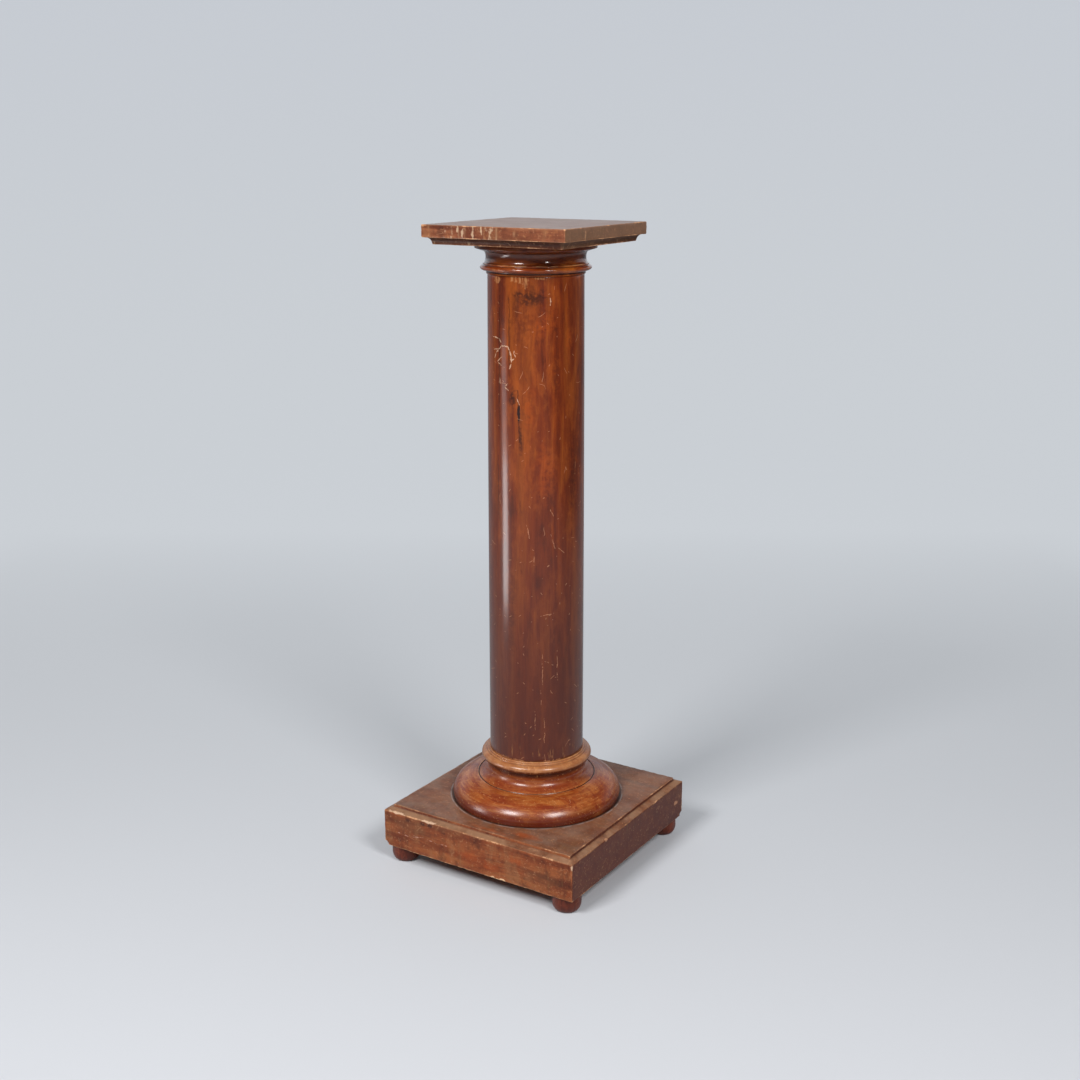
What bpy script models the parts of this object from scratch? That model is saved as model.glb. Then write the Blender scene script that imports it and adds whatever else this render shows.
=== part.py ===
"""A display pedestal of varnished wood, one metre high.

Four turned feet carry a square plinth. A turned base moulding, a round shaft and a turned neck
moulding stand on it, and a square top board with a cove under its edge lies on the neck.
Lengths are in metres, +Z is up, and the origin is on the floor under the middle of the plinth.
The front of the pedestal faces -Y.
"""

from math import cos, pi, radians, sin

import bmesh
import bpy

# Clearance between two pieces that touch
GAP = 0.0003

# Plinth: a thick board whose middle stands up as a field inside a sloping ledge
PLINTH_SIDE = 0.352
PLINTH_EDGE_HEIGHT = 0.0605
LEDGE_WIDTH = 0.0111
LEDGE_RISE = 0.0037
FIELD_STEP = 0.0042
PLINTH_ARRIS = 0.0008

# Feet: low buns, turned, set in from the plinth's sides
FOOT_DIAMETER = 0.0454
FOOT_HEIGHT = 0.0260
FOOT_SOLE_DIAMETER = 0.029
FOOT_HEAD_DIAMETER = 0.042
FOOT_BULGE_HEIGHT = 0.0152
FOOT_INSET = 0.0243

# Shaft: swelling a little towards its foot
SHAFT_BOTTOM_DIAMETER = 0.1488
SHAFT_TOP_DIAMETER = 0.1440
SHAFT_LENGTH = 0.7499

# Base moulding, by how far each member stands out beyond the one before it
SEAT_FILLET_WIDTH = 0.0022
SEAT_FILLET_HEIGHT = 0.0022
SEAT_STEP_WIDTH = 0.0028
SEAT_STEP_HEIGHT = 0.0021
BASE_BEAD_WIDTH = 0.0136
BASE_BEAD_HEIGHT = 0.0140
BASE_BEAD_DEPTH = 0.0078
BASE_NECK_WIDTH = 0.0040
BASE_NECK_HEIGHT = 0.0115
OGEE_WIDTH = 0.0142
OGEE_HEIGHT = 0.0162
OGEE_HOLLOW = 0.0130
OGEE_HOLLOW_SWEEP = 58
QUIRK_WIDTH = 0.0014
QUIRK_DEPTH = 0.0014
TORUS_WIDTH = 0.0412
TORUS_HEIGHT = 0.0295
TORUS_FOOT_HEIGHT = 0.0068
TORUS_FOOT_UNDERCUT = 0.0009

# Neck moulding, by how far each member stands out beyond the shaft's top
NECK_FILLET_WIDTH = 0.0018
NECK_FILLET_HEIGHT = 0.0040
NECK_BEAD_WIDTH = 0.0109
NECK_BEAD_HEIGHT = 0.0098
LISTEL_WIDTH = 0.0066
LISTEL_HEIGHT = 0.0012
CAVETTO_WIDTH = 0.0024
CAVETTO_HEIGHT = 0.0182
CAVETTO_TOP_WIDTH = 0.0070
FLANGE_WIDTH = 0.0190
FLANGE_HEIGHT = 0.0063
FLANGE_SLOPE = 0.0038

# Top board: a flat edge over a cove, lying a little turned on the neck
TOP_BOARD_SIDE = 0.2412
TOP_BOARD_EDGE = 0.0185
COVE_LEDGE = 0.0043
COVE_WIDTH = 0.0069
COVE_HEIGHT = 0.0101
TOP_BOARD_ARRIS = 0.0008
TOP_BOARD_TURN = radians(1.27)

# Facets
TURNING_STEPS = 60
FOOT_STEPS = 28
SHARP_ANGLE = radians(32)

# Heights of the pieces, stacked from the floor
PLINTH_BOTTOM = FOOT_HEIGHT + GAP
FIELD_TOP = PLINTH_BOTTOM + PLINTH_EDGE_HEIGHT + LEDGE_RISE + FIELD_STEP
BASE_BOTTOM = FIELD_TOP + GAP


def arc(centre, radii, start, end, steps):
    """Points of an elliptical arc, as (radius, height) pairs, from one angle in degrees to another."""
    points = []
    for step in range(steps + 1):
        angle = radians(start + (end - start) * step / steps)
        points.append((centre[0] + radii[0] * cos(angle), centre[1] + radii[1] * sin(angle)))
    return points


def finish(mesh, name, material, place, turn=0.0):
    """Makes a named object of a bmesh, shaded smooth with its sharp edges kept."""
    bmesh.ops.remove_doubles(mesh, verts=mesh.verts, dist=1e-6)
    bmesh.ops.recalc_face_normals(mesh, faces=mesh.faces)
    data = bpy.data.meshes.new(name)
    mesh.to_mesh(data)
    mesh.free()
    data.shade_smooth()
    data.set_sharp_from_angle(angle=SHARP_ANGLE)
    data.materials.append(material)
    piece = bpy.data.objects.new(name, data)
    piece.location = place
    piece.rotation_euler.z = turn
    bpy.context.scene.collection.objects.link(piece)
    return piece


def turned(name, outline, steps, material, place):
    """A solid of revolution, whose outline runs from the axis below round to the axis above."""
    mesh = bmesh.new()
    corners = [mesh.verts.new((radius, 0.0, height)) for radius, height in outline]
    edges = [mesh.edges.new(pair) for pair in zip(corners, corners[1:])]
    bmesh.ops.spin(mesh, geom=corners + edges, axis=(0, 0, 1), cent=(0, 0, 0), angle=2 * pi, steps=steps)
    return finish(mesh, name, material, place)


def moulded_board(name, side, section, material, place, turn=0.0):
    """A square board. Its section lists (inset, height) from its underside up to its top."""
    mesh = bmesh.new()
    loops = []
    for inset, height in section:
        half = side / 2 - inset
        corners = [(-half, -half), (half, -half), (half, half), (-half, half)]
        loops.append([mesh.verts.new((x, y, height)) for x, y in corners])
    mesh.faces.new(reversed(loops[0]))
    mesh.faces.new(loops[-1])
    for lower, upper in zip(loops, loops[1:]):
        for i in range(4):
            after = (i + 1) % 4
            mesh.faces.new((lower[i], lower[after], upper[after], upper[i]))
    return finish(mesh, name, material, place, turn)


def wood(name, colour, roughness):
    """Varnished wood of one colour."""
    material = bpy.data.materials.new(name)
    material.use_nodes = True
    shader = material.node_tree.nodes["Principled BSDF"]
    shader.inputs["Base Color"].default_value = (*colour, 1.0)
    shader.inputs["Roughness"].default_value = roughness
    shader.inputs["Metallic"].default_value = 0.0
    return material


def add_plinth():
    ledge_foot = PLINTH_EDGE_HEIGHT
    ledge_head = ledge_foot + LEDGE_RISE
    section = [
        (PLINTH_ARRIS, 0.0),
        (0.0, PLINTH_ARRIS),
        (0.0, ledge_foot - PLINTH_ARRIS),
        (PLINTH_ARRIS, ledge_foot),
        (LEDGE_WIDTH, ledge_head),
        (LEDGE_WIDTH, ledge_head + FIELD_STEP),
    ]
    colour = wood("plinth_wood", (0.105, 0.035, 0.018), 0.45)
    moulded_board("plinth", PLINTH_SIDE, section, colour, (0, 0, PLINTH_BOTTOM))


def add_feet():
    widest = FOOT_DIAMETER / 2
    sole = FOOT_SOLE_DIAMETER / 2
    head = FOOT_HEAD_DIAMETER / 2
    below = arc((sole, FOOT_BULGE_HEIGHT), (widest - sole, FOOT_BULGE_HEIGHT), -90, 0, 5)
    shoulder = FOOT_HEIGHT - FOOT_BULGE_HEIGHT
    above = arc((head, FOOT_BULGE_HEIGHT), (widest - head, shoulder), 0, 90, 3)
    outline = [(0.0, 0.0)] + below + above[1:] + [(0.0, FOOT_HEIGHT)]
    colour = wood("foot_wood", (0.085, 0.022, 0.012), 0.35)
    reach = PLINTH_SIDE / 2 - FOOT_INSET
    for depth, y in (("front", -1), ("back", 1)):
        for side, x in (("left", -1), ("right", 1)):
            turned(f"foot_{depth}_{side}", outline, FOOT_STEPS, colour, (x * reach, y * reach, 0))


def base_outline():
    """Outline of the base moulding, from its underside up to the shaft's seat."""
    seat = SHAFT_BOTTOM_DIAMETER / 2
    bead = seat + BASE_BEAD_WIDTH
    neck = seat + BASE_NECK_WIDTH
    quirk = neck + OGEE_WIDTH
    torus = quirk + TORUS_WIDTH + QUIRK_WIDTH
    torus_top = TORUS_FOOT_HEIGHT + TORUS_HEIGHT
    ogee_top = torus_top + OGEE_HEIGHT
    bead_bottom = ogee_top + BASE_NECK_HEIGHT
    bead_middle = bead_bottom + BASE_BEAD_HEIGHT / 2
    bead_top = bead_bottom + BASE_BEAD_HEIGHT
    outline = [(0.0, 0.0), (torus - TORUS_FOOT_UNDERCUT, 0.0)]
    outline += arc((quirk + QUIRK_WIDTH, TORUS_FOOT_HEIGHT), (TORUS_WIDTH, TORUS_HEIGHT), 0, 90, 9)
    outline += [(quirk + QUIRK_WIDTH / 2, torus_top - QUIRK_DEPTH), (quirk, torus_top)]
    outline += arc((quirk, ogee_top), (OGEE_WIDTH, OGEE_HOLLOW), 180 + OGEE_HOLLOW_SWEEP, 180, 4)
    bead_radii = (BASE_BEAD_DEPTH, BASE_BEAD_HEIGHT / 2)
    outline += arc((bead - BASE_BEAD_DEPTH, bead_middle), bead_radii, -90, 90, 8)
    step_top = bead_top + SEAT_STEP_HEIGHT
    fillet = seat + SEAT_FILLET_WIDTH
    outline += [(fillet + SEAT_STEP_WIDTH, bead_top), (fillet + SEAT_STEP_WIDTH, step_top)]
    outline += [(fillet, step_top), (fillet, step_top + SEAT_FILLET_HEIGHT)]
    return outline + [(0.0, step_top + SEAT_FILLET_HEIGHT)]


def shaft_outline():
    """Outline of the shaft, which thins towards its top as the square of the height."""
    bottom = SHAFT_BOTTOM_DIAMETER / 2
    thinning = (SHAFT_BOTTOM_DIAMETER - SHAFT_TOP_DIAMETER) / 2
    rings = 8
    outline = [(0.0, 0.0)]
    for ring in range(rings + 1):
        share = ring / rings
        outline.append((bottom - thinning * share**2, SHAFT_LENGTH * share))
    return outline + [(0.0, SHAFT_LENGTH)]


def neck_outline():
    """Outline of the neck moulding, from the shaft's top up to the board."""
    shaft = SHAFT_TOP_DIAMETER / 2
    fillet = shaft + NECK_FILLET_WIDTH
    bead_top = NECK_FILLET_HEIGHT + NECK_BEAD_HEIGHT
    bead_middle = NECK_FILLET_HEIGHT + NECK_BEAD_HEIGHT / 2
    bead_radii = (NECK_BEAD_WIDTH - NECK_FILLET_WIDTH, NECK_BEAD_HEIGHT / 2)
    listel = shaft + LISTEL_WIDTH
    listel_top = bead_top + LISTEL_HEIGHT
    waist = shaft + CAVETTO_WIDTH
    waist_height = listel_top + CAVETTO_HEIGHT / 2
    lip = shaft + CAVETTO_TOP_WIDTH
    lip_height = listel_top + CAVETTO_HEIGHT
    flange = shaft + FLANGE_WIDTH
    flange_bottom = lip_height + FLANGE_SLOPE
    top = flange_bottom + FLANGE_HEIGHT
    outline = [(0.0, 0.0), (fillet, 0.0)]
    outline += arc((fillet, bead_middle), bead_radii, -90, 60, 7)
    outline += [(listel, bead_top), (listel, listel_top)]
    outline += arc((listel, waist_height), (listel - waist, CAVETTO_HEIGHT / 2), 260, 180, 4)
    outline += arc((lip, waist_height), (lip - waist, CAVETTO_HEIGHT / 2), 180, 100, 4)[1:]
    return outline + [(lip, lip_height), (flange, flange_bottom), (flange, top), (0.0, top)]


def add_column():
    base_colour = wood("base_wood", (0.205, 0.067, 0.022), 0.3)
    shaft_colour = wood("shaft_wood", (0.15, 0.038, 0.016), 0.25)
    neck_colour = wood("neck_wood", (0.12, 0.037, 0.015), 0.25)
    base = base_outline()
    turned("base_moulding", base, TURNING_STEPS, base_colour, (0, 0, BASE_BOTTOM))
    shaft_bottom = BASE_BOTTOM + base[-1][1] + GAP
    turned("column_shaft", shaft_outline(), TURNING_STEPS, shaft_colour, (0, 0, shaft_bottom))
    neck = neck_outline()
    neck_bottom = shaft_bottom + SHAFT_LENGTH + GAP
    turned("neck_moulding", neck, TURNING_STEPS, neck_colour, (0, 0, neck_bottom))
    return neck_bottom + neck[-1][1] + GAP


def add_top_board(bottom):
    cove = arc((COVE_LEDGE, 0.0), (COVE_WIDTH, COVE_HEIGHT), 0, 90, 6)
    top = COVE_HEIGHT + TOP_BOARD_EDGE
    section = cove + [
        (0.0, COVE_HEIGHT),
        (0.0, top - TOP_BOARD_ARRIS),
        (TOP_BOARD_ARRIS, top),
    ]
    colour = wood("top_board_wood", (0.16, 0.06, 0.03), 0.45)
    moulded_board("top_board", TOP_BOARD_SIDE, section, colour, (0, 0, bottom), TOP_BOARD_TURN)


def main():
    for old in list(bpy.data.objects):
        bpy.data.objects.remove(old)
    add_plinth()
    add_feet()
    add_top_board(add_column())


main()
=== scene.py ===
# %% [markdown]
# A display pedestal of varnished wood, one metre high.
# Four turned feet carry a square plinth. A turned base moulding, a round shaft and a turned neck
# stand on it, and a square top board with a cove under its edge lies on the neck.
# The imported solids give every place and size. This script makes a finer surface for each of
# them: eased and worn edges, chips, wood grain, old varnish, scratches and dust.

# %% Load the frame
from math import atan2, cos, hypot, pi, radians, sin

import bpy
import numpy as np
from mathutils import Matrix, Vector, noise


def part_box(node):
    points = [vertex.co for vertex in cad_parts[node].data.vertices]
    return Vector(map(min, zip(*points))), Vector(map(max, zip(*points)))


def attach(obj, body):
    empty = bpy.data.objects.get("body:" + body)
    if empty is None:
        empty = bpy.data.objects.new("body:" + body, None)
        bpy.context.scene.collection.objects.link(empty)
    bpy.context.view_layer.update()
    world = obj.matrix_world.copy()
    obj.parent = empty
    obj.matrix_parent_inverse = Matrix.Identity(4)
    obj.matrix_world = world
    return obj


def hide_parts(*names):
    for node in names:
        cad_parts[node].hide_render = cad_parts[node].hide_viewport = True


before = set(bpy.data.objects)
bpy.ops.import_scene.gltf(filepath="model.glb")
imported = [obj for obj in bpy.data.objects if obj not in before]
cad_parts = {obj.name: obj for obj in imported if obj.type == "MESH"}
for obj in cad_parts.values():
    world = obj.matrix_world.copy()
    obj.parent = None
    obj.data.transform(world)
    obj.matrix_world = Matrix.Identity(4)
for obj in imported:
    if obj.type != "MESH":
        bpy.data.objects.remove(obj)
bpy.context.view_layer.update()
MM = 0.001
print("solids in the frame:", sorted(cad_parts))

# %% [markdown]
# The camera stands as in the photograph: to the front right of the pedestal, a little above
# its top, looking down by fifteen degrees. Its place is worked out from an azimuth round the
# pedestal, a distance and a height, and its turn from a small yaw, a pitch and a roll.

# %% Camera
CAMERA_AZIMUTH = radians(32.856)
CAMERA_DISTANCE = 2.1967
CAMERA_HEIGHT = 1.1159
CAMERA_YAW = 0.00262
CAMERA_PITCH = 0.26589
CAMERA_ROLL = -0.00058
CAMERA_LENS = 48.85
FAR_LIMIT = 60.0
UP = Vector((0, 0, 1))


def direction(azimuth):
    """The level unit vector from the pedestal's axis towards an azimuth, which is 0 at the front."""
    return Vector((sin(azimuth), -cos(azimuth), 0.0))


def add_camera():
    data = bpy.data.cameras.new("photo_camera")
    data.lens = CAMERA_LENS
    data.clip_end = FAR_LIMIT
    camera = bpy.data.objects.new("photo_camera", data)
    bpy.context.scene.collection.objects.link(camera)
    ahead = -direction(CAMERA_AZIMUTH - CAMERA_YAW)
    right = ahead.cross(UP)
    look = ahead * cos(CAMERA_PITCH) - UP * sin(CAMERA_PITCH)
    level_right = right * cos(CAMERA_ROLL) + right.cross(look) * sin(CAMERA_ROLL)
    turn = Matrix((level_right, level_right.cross(look), -look)).transposed().to_4x4()
    place = direction(CAMERA_AZIMUTH) * CAMERA_DISTANCE + UP * CAMERA_HEIGHT
    camera.matrix_world = Matrix.Translation(place) @ turn
    bpy.context.scene.camera = camera
    return camera


camera = add_camera()
print("camera at", [round(x, 3) for x in camera.matrix_world.translation])

# %% [markdown]
# Every tree of nodes below, for shapes and for finishes, is written as sums on values. A value
# is what a node gives out, and a sum on it adds one more node to the same tree. So a tree reads
# like a recipe, and only the nodes that do more than a sum are named.

# %% Values that nodes give out


def add_node(tree, kind, inputs=None, **settings):
    """Adds a node, sets its options, then fills each named or numbered input or links it."""
    made = tree.nodes.new(kind)
    for name, value in settings.items():
        setattr(made, name, value)
    for name, value in (inputs or {}).items():
        if isinstance(value, Value):
            tree.links.new(value.socket, made.inputs[name])
        else:
            made.inputs[name].default_value = value
    return made


def value_of(tree, kind, inputs=None, output=0, **settings):
    return Value(add_node(tree, kind, inputs, **settings).outputs[output])


def is_vector(value):
    return value.is_vector if isinstance(value, Value) else not isinstance(value, (int, float))


def maths(operation, *values, clamp=False):
    """A sum on numbers or on vectors. Of a vector and a number it is the vector scaled."""
    tree = next(value.tree for value in values if isinstance(value, Value))
    inputs = dict(enumerate(values))
    kinds = [is_vector(value) for value in values]
    if not any(kinds):
        return value_of(tree, "ShaderNodeMath", inputs, operation=operation, use_clamp=clamp)
    if not all(kinds):
        vector, number = sorted(values, key=is_vector, reverse=True)
        return value_of(tree, "ShaderNodeVectorMath", {0: vector, 3: number}, operation="SCALE")
    output = 1 if operation in ("DOT_PRODUCT", "LENGTH") else 0
    return value_of(tree, "ShaderNodeVectorMath", inputs, output, operation=operation)


HALF = (0.5, 0.5, 0.5)


class Value:
    """A number, a vector or a colour that changes over a surface."""

    def __init__(self, socket):
        self.socket = socket
        self.tree = socket.id_data
        self.is_vector = socket.type in ("VECTOR", "RGBA")
        self.parts = None

    def __add__(self, other):
        return maths("ADD", self, other)

    def __sub__(self, other):
        return maths("SUBTRACT", self, other)

    def __rsub__(self, other):
        return maths("SUBTRACT", other, self)

    def __mul__(self, other):
        return maths("MULTIPLY", self, other)

    def __truediv__(self, other):
        return maths("DIVIDE", self, other)

    def __abs__(self):
        return maths("ABSOLUTE", self)

    def dot(self, other):
        return maths("DOT_PRODUCT", self, other)

    def length(self):
        return maths("LENGTH", self)

    def part(self, axis):
        """A part of a vector. One node gives all three."""
        if self.parts is None:
            self.parts = add_node(self.tree, "ShaderNodeSeparateXYZ", {0: self}).outputs
        return Value(self.parts[axis])

    x = property(lambda self: self.part(0))
    y = property(lambda self: self.part(1))
    z = property(lambda self: self.part(2))

    def spread(self, low, high, to_low=0.0, to_high=1.0):
        """Maps low..high to a new range with soft ends, and holds it there outside."""
        inputs = dict(enumerate((self, low, high, to_low, to_high)))
        return value_of(self.tree, "ShaderNodeMapRange", inputs, interpolation_type="SMOOTHSTEP")

    def noise(self, scale, detail=2.0, rough=0.5, distortion=0.0, output=0):
        """Noise at this place. Output 0 is a number and output 1 a colour."""
        inputs = {"Vector": self, "Scale": scale, "Detail": detail, "Roughness": rough}
        inputs["Distortion"] = distortion
        return value_of(self.tree, "ShaderNodeTexNoise", inputs, output)

    def wandering(self, amount, scale=110.0, detail=2.0):
        """This place shifted by slow noise, so that what is drawn straight on it bends."""
        return self + (self.noise(scale, detail, output=1) - HALF) * amount


def vector_from(tree, *parts):
    return value_of(tree, "ShaderNodeCombineXYZ", dict(enumerate(parts)))


def any_of(*masks):
    """The highest of some values."""
    found = masks[0]
    for mask in masks[1:]:
        found = maths("MAXIMUM", found, mask)
    return found


# %% [markdown]
# Some trees are used more than once, so they are groups with named sockets. What a group takes
# is listed with its first values: a number, a vector, None for a vector that is always linked,
# or the name of another kind of socket.

# %% Opening a group


def socket_type(value):
    if isinstance(value, str):
        return value
    return "NodeSocketFloat" if isinstance(value, float) else "NodeSocketVector"


def open_group(name, kind, takes, gives):
    """A group, the values that it takes, and a call that links a value to what it gives."""
    group = bpy.data.node_groups.new(name, kind)
    for title, value in takes.items():
        socket = group.interface.new_socket(title, in_out="INPUT", socket_type=socket_type(value))
        if value is not None and not isinstance(value, str):
            socket.default_value = value
    for title, value in gives.items():
        group.interface.new_socket(title, in_out="OUTPUT", socket_type=socket_type(value))
    starts = add_node(group, "NodeGroupInput").outputs
    given = {socket.name: Value(socket) for socket in starts if socket.name}
    ends = add_node(group, "NodeGroupOutput").inputs

    def give(title, value):
        group.links.new(value.socket, ends[title])

    return group, given, give


# %% [markdown]
# Turned work and moulded boards are one idea: an outline run round a plan. A lathe runs it
# round a circle, and a moulding plane runs it along the four sides of a square. So one tree of
# Geometry Nodes makes every main piece. It lays a grid, with a column for each point of the
# plan and a row for each point of the outline, then moves each point to its own place.
# The outline carries an attribute, arris: above zero where it turns outward, below zero in a
# hollow. The tree wears the wood away there, and the finishes read it for worn colour and
# for painted shade in the hollows.

# %% The tree that runs an outline round a plan
PLAN_ARRIS_SHARE = 0.8
SAME_PLACE = 1e-6


def run_round_tree():
    takes = {
        "Outline": "NodeSocketGeometry",
        "Plan": "NodeSocketObject",
        "Wear": 0.0,
        "Nibbles": 300.0,
        "Waves": 0.0,
        "Wave Scale": (20.0, 20.0, 8.0),
        "Seed": 0.0,
        "Finish": "NodeSocketMaterial",
    }
    gives = {"Piece": "NodeSocketGeometry"}
    tree, given, give = open_group("Run round", "GeometryNodeTree", takes, gives)

    def made(kind, inputs=None, output=0, **settings):
        return value_of(tree, "GeometryNode" + kind, inputs, output, **settings)

    def stored(name):
        return made("InputNamedAttribute", {"Name": name}, data_type="FLOAT")

    def picked(source, data_type, value, at):
        inputs = {"Geometry": source, "Value": value, "Index": at}
        return made("SampleIndex", inputs, data_type=data_type, domain="POINT")

    outline = given["Outline"]
    plan = made("ObjectInfo", {"Object": given["Plan"]}, "Geometry")
    rows = made("AttributeDomainSize", {"Geometry": outline}, "Point Count")
    steps = made("AttributeDomainSize", {"Geometry": plan}, "Point Count")
    grid = made("MeshGrid", {"Vertices X": steps + 1.0, "Vertices Y": rows}, "Mesh")
    index = made("InputIndex")
    row = maths("MODULO", index, rows)
    column = maths("MODULO", maths("FLOOR", index / rows), steps)
    here = made("InputPosition")
    reach = picked(outline, "FLOAT_VECTOR", here, row)
    around = picked(plan, "FLOAT_VECTOR", here, column)
    place = vector_from(tree, reach.x * around.x, reach.x * around.y, reach.z)
    laid = made("SetPosition", {"Geometry": grid, "Position": place})
    # An upright edge counts only where the outline itself is upright
    upright = picked(outline, "FLOAT", stored("upright"), row)
    corner = picked(plan, "FLOAT", stored("arris"), column) * PLAN_ARRIS_SHARE * upright
    turning = picked(outline, "FLOAT", stored("arris"), row) + corner
    inputs = {"Geometry": laid, "Name": "arris", "Value": turning}
    marked = made("StoreNamedAttribute", inputs, data_type="FLOAT", domain="POINT")
    joined = made("MergeByDistance", {"Geometry": marked, "Distance": SAME_PLACE})

    # Wear: dents and nibbles along each arris, and slow waves over the whole surface
    shifted = here + given["Seed"] * (1.7, 2.3, 3.1)
    dents = shifted.noise(45.0, 3.0).spread(0.46, 0.72)
    nibbles = shifted.noise(given["Nibbles"]).spread(0.4, 0.75)
    worn = (dents * 0.7 + nibbles * 0.45) * any_of(stored("arris"), 0.0) * given["Wear"]
    waved = (shifted * given["Wave Scale"]).noise(1.0)
    depth = (waved - 0.5) * given["Waves"] - worn
    shaped = made("SetPosition", {"Geometry": joined, "Offset": made("InputNormal") * depth})
    real = made("RealizeInstances", {"Geometry": made("SetShadeSmooth", {"Geometry": shaped})})
    give("Piece", made("SetMaterial", {"Geometry": real, "Material": given["Finish"]}))
    return tree


run_round = run_round_tree()
print("nodes in the tree:", len(run_round.nodes))

# %% [markdown]
# An outline is a list of (radius, height) pairs. Round members are arcs, and flat ones need
# only their corners. Sharp corners are eased with a small curve, because no edge of old wood is
# sharp, then long stretches are cut into short ones so that wear has points to move.

# %% Outline helpers
EASE = 0.7 * MM
EASE_STEPS = 3
CORNER_ANGLE = radians(22)
ARRIS_REACH = 1.6 * MM


def arc(centre, radii, start, end, steps):
    """Points of an elliptical arc, from one angle in degrees to another."""
    turns = [radians(start + (end - start) * step / steps) for step in range(steps + 1)]
    return [(centre[0] + radii[0] * cos(turn), centre[1] + radii[1] * sin(turn)) for turn in turns]


def turn_at(before, corner, after):
    """How far the outline turns at a corner, in radians: above zero where it turns outward."""
    a = Vector(corner) - Vector(before)
    b = Vector(after) - Vector(corner)
    return atan2(a.x * b.y - a.y * b.x, a.dot(b))


def eased(outline, ease):
    """Rounds each sharp corner with a short curve."""
    points = [outline[0]]
    for before, corner, after in zip(outline, outline[1:], outline[2:]):
        if abs(turn_at(before, corner, after)) < CORNER_ANGLE:
            points.append(corner)
            continue
        middle = Vector(corner)
        back = Vector(before) - middle
        on = Vector(after) - middle
        start = middle + back * min(ease / back.length, 0.45)
        end = middle + on * min(ease / on.length, 0.45)
        for step in range(EASE_STEPS + 1):
            share = step / EASE_STEPS
            first = start.lerp(middle, share)
            points.append(tuple(first.lerp(middle.lerp(end, share), share)))
    return points + [outline[-1]]


def stepped(outline, longest):
    """Cuts stretches that are longer than a given length."""
    points = [outline[0]]
    for (x, z), (next_x, next_z) in zip(outline, outline[1:]):
        cuts = max(1, round(hypot(next_x - x, next_z - z) / longest))
        for cut in range(1, cuts + 1):
            share = cut / cuts
            points.append((x + (next_x - x) * share, z + (next_z - z) * share))
    return points


def arris_of(outline):
    """For each point, how far the outline turns within a short reach, from -1 to 1."""
    turns = [0.0] + [turn_at(*three) for three in zip(outline, outline[1:], outline[2:])] + [0.0]
    along = [0.0]
    for before, after in zip(outline, outline[1:]):
        along.append(along[-1] + hypot(after[0] - before[0], after[1] - before[1]))
    values = []
    for here in along:
        near = [turn for turn, there in zip(turns, along) if abs(there - here) < ARRIS_REACH]
        values.append(max(-1.0, min(1.0, sum(near) / (pi / 2))))
    return values


def upright_of(outline):
    """For each point, 1 where the outline runs upwards there, and 0 where it runs level."""
    ends = zip([outline[0]] + outline[:-1], outline[1:] + [outline[-1]])
    return [1.0 if abs(b[1] - a[1]) > abs(b[0] - a[0]) else 0.0 for a, b in ends]


def add_values(mesh, name, values):
    mesh.attributes.new(name, "FLOAT", "POINT").data.foreach_set("value", values)


def outline_mesh(name, outline, longest, ease=EASE):
    """The finished outline as loose points with their two values. Its ends lie on the axis."""
    body = stepped(eased(outline, ease), longest)
    points = [(0.0, body[0][1])] + body + [(0.0, body[-1][1])]
    mesh = bpy.data.meshes.new(name)
    mesh.from_pydata([(r, 0.0, z) for r, z in points], [], [])
    add_values(mesh, "arris", [0.0] + arris_of(body) + [0.0])
    add_values(mesh, "upright", [0.0] + upright_of(body) + [0.0])
    return mesh


# %% [markdown]
# A plan is a closed ring of points at unit distance. The round one is a plain circle. The
# square one has points along each side and a small curve at each corner, so that the upright
# edges of a board are eased like the others. The plans are helpers and never render.

# %% Plans
CORNER_FROM = 1.39
CORNER_FULL = 1.408


def add_plan(name, points):
    mesh = bpy.data.meshes.new(name)
    mesh.from_pydata([(x, y, 0.0) for x, y in points], [], [])
    # A point beyond the circle that touches the sides of the square is near a corner
    beyond = [max(0.0, hypot(x, y) - CORNER_FROM) / (CORNER_FULL - CORNER_FROM) for x, y in points]
    add_values(mesh, "arris", [min(1.0, share) for share in beyond])
    plan = bpy.data.objects.new(name, mesh)
    bpy.context.scene.collection.objects.link(plan)
    plan.hide_render = True
    return plan


def circle_points(sides):
    return [(cos(2 * pi * i / sides), sin(2 * pi * i / sides)) for i in range(sides)]


def square_points(per_side, corner, corner_steps):
    """A square of half side 1 with rounded corners, anticlockwise from its front left corner."""
    straight = 1.0 - corner
    points = []
    for side in range(4):
        turn = side * pi / 2
        run = [(-straight + 2 * straight * i / per_side, -1.0) for i in range(per_side)]
        for step in range(corner_steps):
            angle = -pi / 2 + pi / 2 * step / corner_steps
            run.append((straight + corner * cos(angle), -straight + corner * sin(angle)))
        points += [(x * cos(turn) - y * sin(turn), x * sin(turn) + y * cos(turn)) for x, y in run]
    return points


wide_circle = add_plan("wide_circle", circle_points(256))
circle = add_plan("circle", circle_points(200))
small_circle = add_plan("small_circle", circle_points(96))
square = add_plan("square", square_points(200, 0.008, 5))
plans = (wide_circle, circle, small_circle, square)
print("points in the plans:", [len(plan.data.vertices) for plan in plans])

# %% [markdown]
# Each piece is an outline, a plan and a finish, run through the tree and kept as a plain mesh.
# Its hard edges are marked, it hangs on the root body, and the solid of the frame that it stands for is
# hidden.

# %% Making and settling a piece
SOFT_ANGLE = radians(40)


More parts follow.
